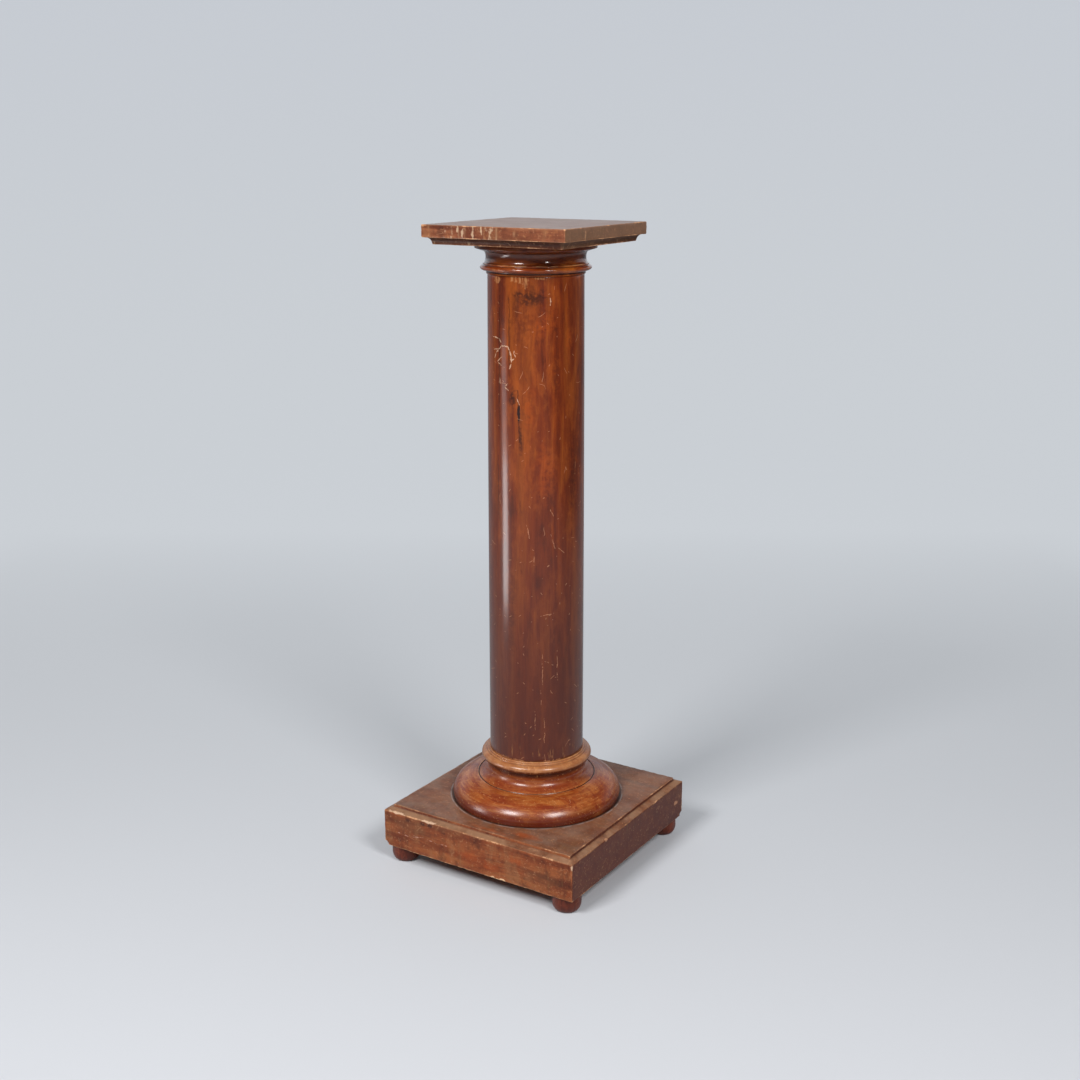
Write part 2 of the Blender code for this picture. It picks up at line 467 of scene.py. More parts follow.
def make_piece(name, outline, plan, finish, seed, wear=0.0, nibbles=300.0, waves=0.0, wave_scale=(20, 20, 8)):
    piece = bpy.data.objects.new(name, outline)
    bpy.context.scene.collection.objects.link(piece)
    modifier = piece.modifiers.new("run round", "NODES")
    modifier.node_group = run_round
    values = {"Plan": plan, "Wear": wear, "Nibbles": nibbles, "Waves": waves}
    values.update({"Wave Scale": wave_scale, "Seed": seed, "Finish": finish})
    for item in run_round.interface.items_tree:
        if item.in_out == "INPUT" and item.name in values:
            modifier[item.identifier] = values[item.name]
    graph = bpy.context.evaluated_depsgraph_get()
    mesh = bpy.data.meshes.new_from_object(piece.evaluated_get(graph))
    piece.modifiers.clear()
    piece.data = mesh
    mesh.name = name
    return piece


def settle(piece, node):
    piece.data.set_sharp_from_angle(angle=SOFT_ANGLE)
    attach(piece, "root")
    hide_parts(node)
    print(piece.name, len(piece.data.polygons), "faces")


# %% [markdown]
# The finishes share a handful of effects, so each effect is a shader group with named inputs.
# Wood grain is noise stretched along the fibres: broad streaks of colour, fine fibres, and
# short dark pores. Stretch gives how many features there are to a metre in each direction.

# %% Group: wood grain


def grain_group():
    takes = {"Vector": None, "Stretch": (80.0, 80.0, 5.0), "Seed": 0.0}
    gives = {"Figure": 0.0, "Fibre": 0.0, "Pores": 0.0}
    group, given, give = open_group("Wood grain", "ShaderNodeTree", takes, gives)
    moved = given["Vector"] + given["Seed"] * (3.1, 1.3, 2.2)
    drawn = moved.wandering(12.0 * MM, 11.0) * given["Stretch"]
    give("Figure", drawn.noise(1.0, 5.0, 0.62, 0.9).spread(0.3, 0.7))
    give("Fibre", drawn.noise(7.0, 3.0, 0.65).spread(0.3, 0.7))
    give("Pores", drawn.noise(17.0, 1.0).spread(0.62, 0.72))
    return group


wood_grain = grain_group()
print("nodes in the wood grain:", len(wood_grain.nodes))

# %% [markdown]
# Old varnish carries many small scratches. Space is cut into cells, each cell gets a line with
# its own direction and length, and a share of the cells is left bare. The line lies in the
# surface because the part of the distance that runs along the normal is taken away first.

# %% Group: scattered scratches


def normal_of(tree):
    return value_of(tree, "ShaderNodeNewGeometry", output="Normal")


def scratches_group():
    takes = {"Vector": None, "Cells": 40.0, "Length": 6.0 * MM, "Width": 0.4 * MM, "Amount": 0.4, "Seed": 0.0}
    group, given, give = open_group("Scattered scratches", "ShaderNodeTree", takes, {"Mask": 0.0})
    bent = (given["Vector"] + given["Seed"] * (0.7, 1.9, 1.1)).wandering(5.0 * MM, 70.0, 1.0)
    cells = add_node(group, "ShaderNodeTexVoronoi", {"Vector": bent, "Scale": given["Cells"]}).outputs
    chance = Value(cells["Color"])
    away = bent - Value(cells["Position"])
    normal = normal_of(group)
    flat = away - normal * away.dot(normal)
    heading = chance - HALF
    line = maths("NORMALIZE", heading - normal * heading.dot(normal))
    length = given["Length"] * (chance.y + 0.15)
    inside = abs(flat.dot(line)).spread(length * 0.5, length, 1.0, 0.0)
    across = maths("CROSS_PRODUCT", flat, line).length()
    thin = across.spread(given["Width"] * 0.4, given["Width"], 1.0, 0.0)
    kept = maths("LESS_THAN", chance.x, given["Amount"])
    near = maths("LESS_THAN", away.length(), maths("DIVIDE", 1.0, given["Cells"]))
    give("Mask", inside * thin * (kept * near))
    return group


scattered_scratches = scratches_group()
print("nodes in the scratches:", len(scattered_scratches.nodes))

# %% [markdown]
# Marks that sit at one place are made with two small groups. A stroke is the distance to a
# line between two points, thinner at its ends. A patch is a soft blob with a ragged edge.

# %% Groups: stroke and patch


def stroke_group():
    takes = {"Vector": None, "From": None, "To": None, "Width": 0.5 * MM}
    group, given, give = open_group("Stroke", "ShaderNodeTree", takes, {"Mask": 0.0})
    run = given["To"] - given["From"]
    off = given["Vector"] - given["From"]
    share = maths("DIVIDE", off.dot(run), run.dot(run), clamp=True)
    width = given["Width"] * (maths("PINGPONG", share, 0.5) + 0.5)
    give("Mask", (off - run * share).length().spread(width * 0.45, width, 1.0, 0.0))
    return group


def patch_group():
    takes = {"Vector": None, "Centre": None, "Size": (0.01, 0.01, 0.01)}
    takes.update({"Ragged": 0.4, "Rough": 0.5, "Soft": 0.45})
    group, given, give = open_group("Patch", "ShaderNodeTree", takes, {"Mask": 0.0})
    distance = ((given["Vector"] - given["Centre"]) / given["Size"]).length()
    torn = (given["Rough"] - 0.5) * (given["Ragged"] * 4.0)
    give("Mask", (distance + torn).spread(1.0 - given["Soft"], 1.0, 1.0, 0.0))
    return group


stroke = stroke_group()
patch = patch_group()
print("nodes in a stroke and a patch:", len(stroke.nodes), len(patch.nodes))

# %% [markdown]
# The arris attribute of the shapes drives two more effects. Where it is high, hands and
# knocks have rubbed the varnish off, in broken stretches along the edge. Where it is low, in a
# quirk or under a bead, the colour is darkened: painted shade. Dust lies on what faces upwards,
# where on the top board it also stands for a painted sheen, and old drips have run down upright faces.

# %% Groups: worn arris and painted shade, dust and sheen, and drips


def arris_group():
    takes = {"Vector": None, "Wear": 0.5, "Grit": 160.0, "Seed": 0.0}
    gives = {"Worn": 0.0, "Rubbed": 0.0, "Painted Shade": 0.0}
    group, given, give = open_group("Arris wear and shade", "ShaderNodeTree", takes, gives)
    arris = value_of(group, "ShaderNodeAttribute", output="Fac", attribute_name="arris")
    moved = given["Vector"] + given["Seed"] * (1.3, 0.7, 2.9)
    rough = moved.noise(given["Grit"], 4.0, 0.65).spread(0.25, 0.75)
    broad = moved.noise(17.0, 3.0).spread(0.3, 0.7)
    both = rough * 0.45 + broad * 0.55
    edge = any_of(arris, 0.0) * given["Wear"]
    give("Worn", (both - 1.0 + edge).spread(0.0, 0.22) * arris.spread(0.1, 0.3))
    give("Rubbed", (edge * 2.2 + (both - 0.95)).spread(0.0, 0.6) * arris.spread(0.02, 0.2))
    # Painted shade: a darker colour where the outline turns inward, in quirks and under beads
    give("Painted Shade", arris.spread(-0.08, -0.7))
    return group


def dust_and_sheen_group():
    group, given, give = open_group("Dust and sheen", "ShaderNodeTree", {"Vector": None, "Amount": 0.5}, {"Mask": 0.0})
    cloud = given["Vector"].noise(28.0, 5.0, 0.7)
    give("Mask", normal_of(group).z.spread(0.6, 1.0) * cloud.spread(0.3, 0.75) * given["Amount"])
    return group


def drips_group():
    takes = {"Vector": None, "Density": 110.0, "Amount": 0.5}
    group, given, give = open_group("Drips", "ShaderNodeTree", takes, {"Mask": 0.0})
    run = (given["Vector"] * (1.0, 1.0, 0.07)).noise(given["Density"], 2.0, 0.5, 0.3)
    gaps = given["Vector"].noise(45.0)
    upright = abs(normal_of(group).z).spread(0.7, 0.2)
    give("Mask", run.spread(0.6, 0.72) * gaps.spread(0.4, 0.6) * upright * given["Amount"])
    return group


arris_wear_and_shade = arris_group()
dust_and_sheen = dust_and_sheen_group()
drips = drips_group()
print("shader groups:", [group.name for group in bpy.data.node_groups if group.type == "SHADER"])

# %% [markdown]
# A finish is then written as layers, the way a restorer would describe it: the wood, its
# streaks, the painted shade in the hollows, then scratches and bare wood on top. A small class keeps
# the layers of one material in hand. Colours are named as on a paint card, 0 to 255, and
# marks are placed in millimetres.

# %% Layers of a finish


def shade(colour):
    """A display colour from 0 to 255, as the linear values that shaders use."""
    shares = [part / 255.0 for part in colour]
    return tuple(s / 12.92 if s < 0.0405 else ((s + 0.055) / 1.055) ** 2.4 for s in shares) + (1.0,)


def mm(place):
    """A place given in millimetres, with two or three numbers, as a vector in metres."""
    return Vector(place).to_3d() * MM


def strokes(place, lines, width):
    """The mask of drawn lines, each a run of points."""
    masks = []
    for run in lines:
        for start, end in zip(run, run[1:]):
            inputs = {"Vector": place, "From": mm(start), "To": mm(end), "Width": width * MM}
            masks.append(value_of(place.tree, "ShaderNodeGroup", inputs, node_tree=stroke))
    return any_of(*masks)


def patches(place, spots, ragged=0.4, grit=200.0, soft=0.45):
    """The mask of ragged blobs, each a centre and a size."""
    shared = {"Vector": place, "Ragged": ragged, "Rough": place.noise(grit, 3.0, 0.6), "Soft": soft}
    masks = []
    for centre, size in spots:
        inputs = {"Centre": mm(centre), "Size": mm(size), **shared}
        masks.append(value_of(place.tree, "ShaderNodeGroup", inputs, node_tree=patch))
    return any_of(*masks)


def heights_of(finish, node):
    """A call that gives the mask between two heights, in millimetres above a solid's bottom."""
    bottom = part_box(node)[0].z
    height = finish.place.z
    return lambda low, high, *ends: height.spread(bottom + low * MM, bottom + high * MM, *ends)


class Finish:
    """One material in the making: a colour, a gloss and a relief, built up layer by layer."""

    def __init__(self, name, roughness, coat_roughness):
        self.material = bpy.data.materials.new(name)
        self.material.use_nodes = True
        self.tree = self.material.node_tree
        self.shader = self.tree.nodes["Principled BSDF"].inputs
        self.shader["Roughness"].default_value = roughness
        self.shader["Coat Roughness"].default_value = coat_roughness
        self.shader["Specular IOR Level"].default_value = 0.1
        self.roughness = roughness
        self.place = value_of(self.tree, "ShaderNodeTexCoord", output="Object")
        self.colour = None
        self.bare = None
        self.relief = None

    def group(self, group, **inputs):
        """What one of the shared groups gives at the object's own place."""
        made = add_node(self.tree, "ShaderNodeGroup", {"Vector": self.place, **inputs}, node_tree=group)
        return {socket.name: Value(socket) for socket in made.outputs}

    def mask(self, group, **inputs):
        return self.group(group, **inputs)["Mask"]

    def figure(self, value, tones, middle=0.5):
        """The first layer: two or three tones of wood between which a value from 0 to 1 runs."""
        made = add_node(self.tree, "ShaderNodeValToRGB", {0: value})
        points = made.color_ramp.elements
        places = [0.0, 1.0]
        if len(tones) == 3:
            points.new(middle)
            places.insert(1, middle)
        for point, position, tone in zip(points, places, tones):
            point.position = position
            point.color = shade(tone)
        self.colour = Value(made.outputs["Color"])

    def wood(self, tones, broad, fine, streaks, pores, fibre, middle=0.5):
        """The wood under the varnish. Each of its two grains is a stretch and a seed, its
        streaks and pores are each a colour and a strength, and fibre is their relief."""
        broad_grain = self.group(wood_grain, Stretch=broad[0], Seed=broad[1])
        fine_grain = self.group(wood_grain, Stretch=fine[0], Seed=fine[1])
        self.figure(broad_grain["Figure"], tones, middle)
        self.layer(fine_grain["Figure"], *streaks)
        self.layer(fine_grain["Pores"], *pores)
        self.raise_by(fine_grain["Fibre"], fibre)

    def layer(self, mask, colour, strength=1.0):
        """Lays a colour over what is there, where the mask is white."""
        mask = mask if strength == 1.0 else mask * strength
        inputs = {0: mask, 6: self.colour, 7: shade(colour)}
        self.colour = value_of(self.tree, "ShaderNodeMix", inputs, 2, data_type="RGBA")

    def strip(self, mask, strength=1.0):
        """Takes the varnish off where the mask is white."""
        mask = mask * strength
        self.bare = mask if self.bare is None else any_of(self.bare, mask)

    def raise_by(self, value, height):
        """Adds to the relief, in metres."""
        value = value * height
        self.relief = value if self.relief is None else self.relief + value

    def done(self, coat):
        inputs = {"Height": self.relief, "Distance": 1.0, "Strength": 1.0}
        ends = {
            "Base Color": self.colour,
            "Roughness": self.bare * 0.3 + self.roughness,
            "Coat Weight": maths("SUBTRACT", 1.0, self.bare, clamp=True) * coat,
            "Normal": value_of(self.tree, "ShaderNodeBump", inputs),
        }
        for name, value in ends.items():
            self.tree.links.new(value.socket, self.shader[name])
        print(self.material.name, len(self.tree.nodes), "nodes")
        return self.material


# %% [markdown]
# The base moulding is turned from paler wood than the shaft. Its varnish has rubbed to orange
# brown on the round members and stays dark red low on the torus and in the ogee. In the
# hollows and under the bead the colour is painted darker still, as shade.

# %% Base moulding: finish


def round_and_round(place, slow, quick):
    """A place for noise that changes slowly round the axis and quickly along the outline."""
    level = vector_from(place.tree, place.x, place.y)
    along = (place.z - level.length()) * quick
    return maths("NORMALIZE", level) * slow + vector_from(place.tree, 0.0, 0.0, along)


def base_finish():
    finish = Finish("base_varnish", 0.42, 0.24)
    between = heights_of(finish, "base_moulding")
    finish.wood(
        tones=((134, 50, 14), (156, 74, 25), (176, 99, 42)),
        middle=0.45,
        broad=((20.0, 44.0, 70.0), 3.0),
        fine=((60.0, 160.0, 300.0), 5.0),
        streaks=((96, 34, 10), 0.4),
        pores=((58, 20, 8), 0.55),
        fibre=0.04 * MM,
    )
    turned = round_and_round(finish.place, 3.2, 150.0).noise(1.0, 4.0, 0.65)
    finish.layer(turned.spread(0.5, 0.66), (108, 36, 10), 0.42)
    finish.layer(turned.spread(0.5, 0.36), (188, 120, 62), 0.42)
    # Redder varnish low on the torus and above it, where hands have not rubbed it thin
    cloud = finish.place.noise(13.0, 4.0, 0.6).spread(0.32, 0.5)
    finish.layer(between(24, 8) * cloud, (92, 24, 10), 0.85)
    ring = between(68.5, 72.5)
    finish.layer(between(37, 41) - ring, (118, 40, 12), 0.48)
    # Painted shade under the bead: the neck below it and the bead's lower half are darkened, and the bead's
    # paler tone is kept to its upper half
    finish.layer(between(54, 60) - ring, (62, 18, 7), 0.75)
    mottle = finish.place.noise(70.0, 4.0, 0.65).spread(0.42, 0.62)
    finish.layer(ring, (168, 112, 70), 0.6)
    finish.layer(ring * mottle, (196, 140, 90), 0.34)
    edges = finish.group(arris_wear_and_shade, Wear=0.5, Seed=1.0)
    # Painted shade in the hollows, full below the bead and weaker above it
    finish.layer(edges["Painted Shade"] * between(73, 62, 0.3, 1.0), (46, 14, 6), 0.9)
    scuffs = finish.mask(scattered_scratches, Cells=70.0, Length=4 * MM, Amount=0.16, Seed=1.0)
    flecks = finish.place.noise(310.0, 2.0, 0.6).spread(0.62, 0.72)
    finish.layer(flecks, (196, 138, 86), 0.6)
    finish.layer(scuffs, (206, 150, 104), 0.7)
    finish.layer(edges["Rubbed"], (186, 122, 74), 0.6)
    finish.layer(edges["Worn"], (206, 150, 104), 0.7)
    finish.strip(edges["Worn"], 0.8)
    finish.strip(scuffs, 0.6)
    finish.raise_by(scuffs, -0.05 * MM)
    return finish.done(0.9)


# %% [markdown]
# Its outline goes up from the plinth: a wide torus, a quirk, an ogee that sweeps up into a
# hollow, a bead, and two low steps that the shaft stands on. Each member is a few named sizes.

# %% Base moulding: shape
SHAFT_BOTTOM_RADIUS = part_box("column_shaft")[1].x
SEAT_FILLET_WIDTH = 2.2 * MM
SEAT_FILLET_HEIGHT = 2.2 * MM
SEAT_STEP_WIDTH = 2.8 * MM
SEAT_STEP_HEIGHT = 2.1 * MM
BASE_BEAD_WIDTH = 13.6 * MM
BASE_BEAD_HEIGHT = 14.0 * MM
BASE_BEAD_DEPTH = 7.8 * MM
BASE_NECK_WIDTH = 4.0 * MM
BASE_NECK_HEIGHT = 11.5 * MM
OGEE_WIDTH = 14.2 * MM
OGEE_HEIGHT = 16.2 * MM
OGEE_HOLLOW = 13.0 * MM
OGEE_HOLLOW_SWEEP = 58
QUIRK_WIDTH = 1.4 * MM
QUIRK_DEPTH = 1.4 * MM
TORUS_WIDTH = 41.2 * MM
TORUS_HEIGHT = 29.5 * MM
TORUS_FOOT_HEIGHT = 6.8 * MM
TORUS_FOOT_UNDERCUT = 0.9 * MM
TORUS_FULLNESS = 1.8
TORUS_STEPS = 36


def bulge(centre, radii, steps):
    """A quarter round that is a little straighter above its widest point than an ellipse is."""
    power = 2 / TORUS_FULLNESS
    points = []
    for step in range(steps + 1):
        angle = pi / 2 * step / steps
        across = cos(angle) ** power if step < steps else 0.0
        points.append((centre[0] + radii[0] * across, centre[1] + radii[1] * sin(angle) ** power))
    return points


def base_outline():
    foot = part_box("base_moulding")[0].z
    seat = SHAFT_BOTTOM_RADIUS
    bead = seat + BASE_BEAD_WIDTH
    quirk = seat + BASE_NECK_WIDTH + OGEE_WIDTH
    torus = quirk + TORUS_WIDTH + QUIRK_WIDTH
    torus_middle = foot + TORUS_FOOT_HEIGHT
    torus_top = torus_middle + TORUS_HEIGHT
    ogee_top = torus_top + OGEE_HEIGHT
    bead_bottom = ogee_top + BASE_NECK_HEIGHT
    bead_top = bead_bottom + BASE_BEAD_HEIGHT
    bead_middle = (bead_bottom + bead_top) / 2
    outline = [(torus - TORUS_FOOT_UNDERCUT, foot)]
    outline += bulge((quirk + QUIRK_WIDTH, torus_middle), (TORUS_WIDTH, TORUS_HEIGHT), TORUS_STEPS)
    outline += [(quirk + QUIRK_WIDTH / 2, torus_top - QUIRK_DEPTH), (quirk, torus_top)]
    outline += arc((quirk, ogee_top), (OGEE_WIDTH, OGEE_HOLLOW), 180 + OGEE_HOLLOW_SWEEP, 180, 14)
    bead_radii = (BASE_BEAD_DEPTH, BASE_BEAD_HEIGHT / 2)
    outline += arc((bead - BASE_BEAD_DEPTH, bead_middle), bead_radii, -90, 90, 18)
    step_top = bead_top + SEAT_STEP_HEIGHT
    fillet = seat + SEAT_FILLET_WIDTH
    outline += [(fillet + SEAT_STEP_WIDTH, bead_top), (fillet + SEAT_STEP_WIDTH, step_top)]
    outline += [(fillet, step_top), (fillet, step_top + SEAT_FILLET_HEIGHT)]
    return outline + [(fillet - SEAT_FILLET_WIDTH, step_top + SEAT_FILLET_HEIGHT)]


base = make_piece(
    "turned_base",
    outline_mesh("base_outline", base_outline(), 1.3 * MM),
    wide_circle,
    base_finish(),
    seed=1.0,
    wear=0.5 * MM,
    waves=0.25 * MM,
)
settle(base, "base_moulding")

# %% [markdown]
# The shaft is one long turned cylinder that thins a little towards its top. Its figure runs
# upright in streaks a finger wide, orange red above and darker below. The marks are placed on
# the unrolled surface, as (distance round, height), because a line is simplest to draw there.
# Scratches are runs of points. The star is a knot of hooked ones, where something hard slipped.

# %% Shaft: marks on the unrolled surface
SHAFT_RADIUS = 73.5 * MM


def unrolled(place):
    """The distance round the shaft from the side that faces the camera, and the height."""
    facing = direction(CAMERA_AZIMUTH)
    along = place.x * facing.x + place.y * facing.y
    side = place.y * facing.x - place.x * facing.y
    return vector_from(place.tree, maths("ARCTAN2", side, along) * SHAFT_RADIUS, place.z)


DARK_LINES = [
    ((-61, 925), (-62, 700)),
    ((-42, 896), (-42, 800)),
    ((-65, 662), (-65, 570)),
    ((-28, 762), (-25, 690)),
]
DARK_SLOT = [((-26.5, 739), (-26.5, 719))]
DARK_SPOTS = [
    ((-8, 899), (42, 17, 1)),
    ((-36, 750), (9, 26, 1)),
    ((-24, 690), (5, 36, 1)),
    ((-24, 902), (18, 9, 1)),
]
DARK_CLOUDS = [
    ((66, 640), (26, 150, 1)),
    ((-40, 420), (14, 120, 1)),
    ((30, 790), (9, 70, 1)),
    ((-57, 880), (8, 70, 1)),
    ((-20, 860), (30, 40, 1)),
]
BRIGHT_SPOTS = [
    ((-12, 735), (14, 46, 1)),
    ((54, 834), (14, 20, 1)),
    ((14, 640), (22, 60, 1)),
    ((12, 860), (26, 30, 1)),
]
TOP_RUBBED = [
    ((-28, 924), (17, 6, 1)),
    ((-16, 920), (5, 12, 1)),
    ((-66, 922), (8, 7, 1)),
    ((8, 926), (14, 3, 1)),
]
STAR = [
    ((-78, 839), (-61, 836), (-56, 829), (-57, 825)),
    ((-57, 825), (-65, 821), (-75, 820)),
    ((-63, 820), (-69, 815), (-73, 807)),
    ((-57, 825), (-51, 828), (-44, 826), (-41, 822)),
    ((-33, 821), (-34, 816), (-31, 812)),
    ((-57, 811), (-66, 801), (-57, 798)),
]
GOUGE = [((-41, 820), (-39, 812), (-38, 803), (-42, 794)), ((-34, 809), (-38, 806))]
DEEP_SCRATCHES = STAR + [
    ((-44, 773), (-50, 767), (-44, 762)),
    ((-61, 780), (-60, 771)),
    ((-29, 752), (-26, 741)),
    ((22, 898), (22, 886)),
]
FINE_SCRATCHES = [
    ((-61, 609), (-61, 586)),
    ((36, 675), (36, 667)),
    ((22, 545), (29, 522)),
    ((34, 523), (46, 512)),
    ((-86, 526), (-72, 521)),
    ((-4, 518), (-3, 498)),
    ((93, 484), (82, 475)),
    ((7, 418), (29, 421)),
    ((12, 345), (26, 337)),
    ((9, 355), (9, 306)),
    ((33, 360), (33, 311)),
    ((7, 298), (7, 273)),
    ((18, 590), (30, 566), (36, 570)),
    ((-14, 560), (-10, 540)),
    ((22, 500), (14, 492)),
    ((-2, 262), (-2, 232)),
    ((12, 250), (12, 204)),
]
print("placed scratches on the shaft:", len(DEEP_SCRATCHES + GOUGE + FINE_SCRATCHES))

# %% Shaft: finish


def shaft_finish():
    finish = Finish("shaft_varnish", 0.4, 0.16)
    between = heights_of(finish, "column_shaft")
    flat = unrolled(finish.place)
    bent = flat.wandering(5 * MM)
    broad = finish.group(wood_grain, Stretch=(44.0, 44.0, 3.0), Seed=2.0)
    narrow = finish.group(wood_grain, Stretch=(150.0, 150.0, 7.0), Seed=7.0)
    hair = finish.group(wood_grain, Stretch=(520.0, 520.0, 22.0), Seed=9.0)
    finish.figure(broad["Figure"], ((104, 36, 8), (132, 54, 13), (156, 76, 22)))
    finish.layer(narrow["Figure"], (76, 26, 8), 0.42)
    finish.layer(hair["Figure"], (70, 24, 8), 0.3)
    finish.layer(hair["Pores"], (40, 14, 6), 0.4)
    # Cloudy patches in the figure, taller than wide, some lighter and some darker
    clouds = (finish.place * (1.0, 1.0, 0.4)).noise(46.0, 5.0, 0.68)
    finish.layer(clouds.spread(0.5, 0.68), (166, 82, 26), 0.35)
    finish.layer(clouds.spread(0.46, 0.3), (58, 20, 10), 0.5)
    finish.layer(finish.place.z.spread(0.7, 0.24), (72, 25, 10), 0.7)
    finish.layer(patches(bent, DARK_CLOUDS, 0.4, 50.0, 0.95), (70, 24, 10), 0.45)
    finish.layer(patches(bent, BRIGHT_SPOTS, 0.5, 60.0, 0.95), (168, 72, 14), 0.34)
    finish.layer(patches(bent, DARK_SPOTS, 0.35, 70.0, 0.9), (34, 12, 7), 0.78)
    finish.layer(strokes(bent, DARK_LINES, 2.2), (40, 14, 8), 0.5)
    slot = strokes(bent, DARK_SLOT, 3.4)
    finish.layer(slot, (22, 14, 16), 0.9)
    edges = finish.group(arris_wear_and_shade, Wear=0.42, Grit=120.0, Seed=2.0)
    scuffs = finish.mask(scattered_scratches, Cells=38.0, Length=8 * MM, Width=0.4 * MM, Amount=0.2, Seed=4.0)
    nicks = finish.mask(scattered_scratches, Cells=90.0, Length=3 * MM, Width=0.5 * MM, Amount=0.1, Seed=5.0)
    deep = any_of(strokes(bent, DEEP_SCRATCHES, 1.1), strokes(bent, GOUGE, 1.7))
    scored = any_of(scuffs, nicks)
    cuts = any_of(scored, strokes(bent, FINE_SCRATCHES, 0.75))
    # Flecks near the foot, and a bare patch just under the neck
    streaky = flat * (1.0, 0.14, 1.0)
    flecks = streaky.noise(210.0, 3.0, 0.6).spread(0.58, 0.7)
    streaks = streaky.noise(420.0).spread(0.4, 0.55)
    at_top = patches(flat, TOP_RUBBED, 0.5, 240.0) * streaks
    rubbed = any_of(flecks * between(34, 4), at_top)
    finish.layer(rubbed, (190, 132, 84), 0.6)
    finish.layer(cuts, (190, 132, 96), 0.7)
    finish.layer(deep, (206, 168, 138), 0.85)
    finish.layer(edges["Worn"], (190, 132, 92), 0.7)
    finish.strip(edges["Worn"], 0.8)
    finish.strip(rubbed, 0.7)
    finish.strip(deep, 0.8)
    finish.strip(cuts, 0.5)
    finish.raise_by(narrow["Fibre"], 0.02 * MM)
    finish.raise_by(scored, -0.05 * MM)
    finish.raise_by(slot, -0.4 * MM)
    return finish.done(0.82)


# %% [markdown]
# The shaft's outline is one long curve. It loses a millimetre or two of its radius, slowly at
# first and more quickly towards its top, as a column does.

# %% Shaft: shape
SHAFT_TOP_RADIUS = 72.0 * MM
SHAFT_RINGS = 150
END_FACE_WIDTH = 8 * MM


def shaft_outline():
    low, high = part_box("column_shaft")
    outline = []
    for ring in range(SHAFT_RINGS + 1):
        share = ring / SHAFT_RINGS
        radius = SHAFT_BOTTOM_RADIUS - (SHAFT_BOTTOM_RADIUS - SHAFT_TOP_RADIUS) * share**2
        outline.append((radius, low.z + (high.z - low.z) * share))
    inner = SHAFT_TOP_RADIUS - END_FACE_WIDTH
    return [(inner, low.z)] + outline + [(inner, high.z)]


shaft = make_piece(
    "turned_shaft",
    outline_mesh("shaft_outline", shaft_outline(), 4 * MM, ease=0.9 * MM),
    circle,
    shaft_finish(),
    seed=2.0,
    wear=0.4 * MM,
    waves=0.5 * MM,
    wave_scale=(22, 22, 4),
)
settle(shaft, "column_shaft")

# %% [markdown]
# The neck is turned too: a bead above the shaft, a thin listel, a waisted hollow and a flange
# that spreads under the board. Its varnish is thick and dark, with the sharpest gloss.

# %% Neck: finish
LISTEL_TOP = 15.0 * MM


def neck_finish():
    finish = Finish("neck_varnish", 0.38, 0.11)
    between = heights_of(finish, "neck_moulding")
    finish.wood(
        tones=((124, 44, 8), (156, 70, 18), (184, 98, 32)),
        broad=((14.0, 36.0, 80.0), 8.0),
        fine=((50.0, 150.0, 280.0), 9.0),
        streaks=((76, 26, 8), 0.45),
        pores=((44, 16, 6), 0.45),
        fibre=0.012 * MM,
    )
    finish.layer(between(14, 20), (84, 30, 8), 0.5)
    edges = finish.group(arris_wear_and_shade, Wear=0.36, Grit=150.0, Seed=3.0)
    # Painted shade in the hollows of the neck
    finish.layer(edges["Painted Shade"], (30, 10, 5), 0.8)
    finish.layer(edges["Rubbed"], (150, 86, 44), 0.5)
    # The top edge of the listel is rubbed to a thin pale line nearly all the way round
    off = abs(finish.place.z - (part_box("neck_moulding")[0].z + LISTEL_TOP))
    broken = finish.place.noise(80.0).spread(0.35, 0.6)
    finish.layer(off.spread(0.9 * MM, 0.2 * MM) * broken, (206, 156, 104), 0.65)
    finish.layer(edges["Worn"], (190, 132, 86), 0.6)
    finish.strip(edges["Worn"], 0.6)
    return finish.done(0.9)


# %% Neck: shape
NECK_FILLET_WIDTH = 1.8 * MM
NECK_FILLET_HEIGHT = 4.0 * MM
NECK_BEAD_WIDTH = 10.9 * MM
NECK_BEAD_HEIGHT = 9.8 * MM
LISTEL_WIDTH = 6.6 * MM
LISTEL_HEIGHT = 1.2 * MM
CAVETTO_WIDTH = 2.4 * MM
CAVETTO_HEIGHT = 18.2 * MM
CAVETTO_TOP_WIDTH = 7.0 * MM
FLANGE_WIDTH = 19.0 * MM
FLANGE_SLOPE = 3.8 * MM
FLANGE_FACE_WIDTH = 12 * MM


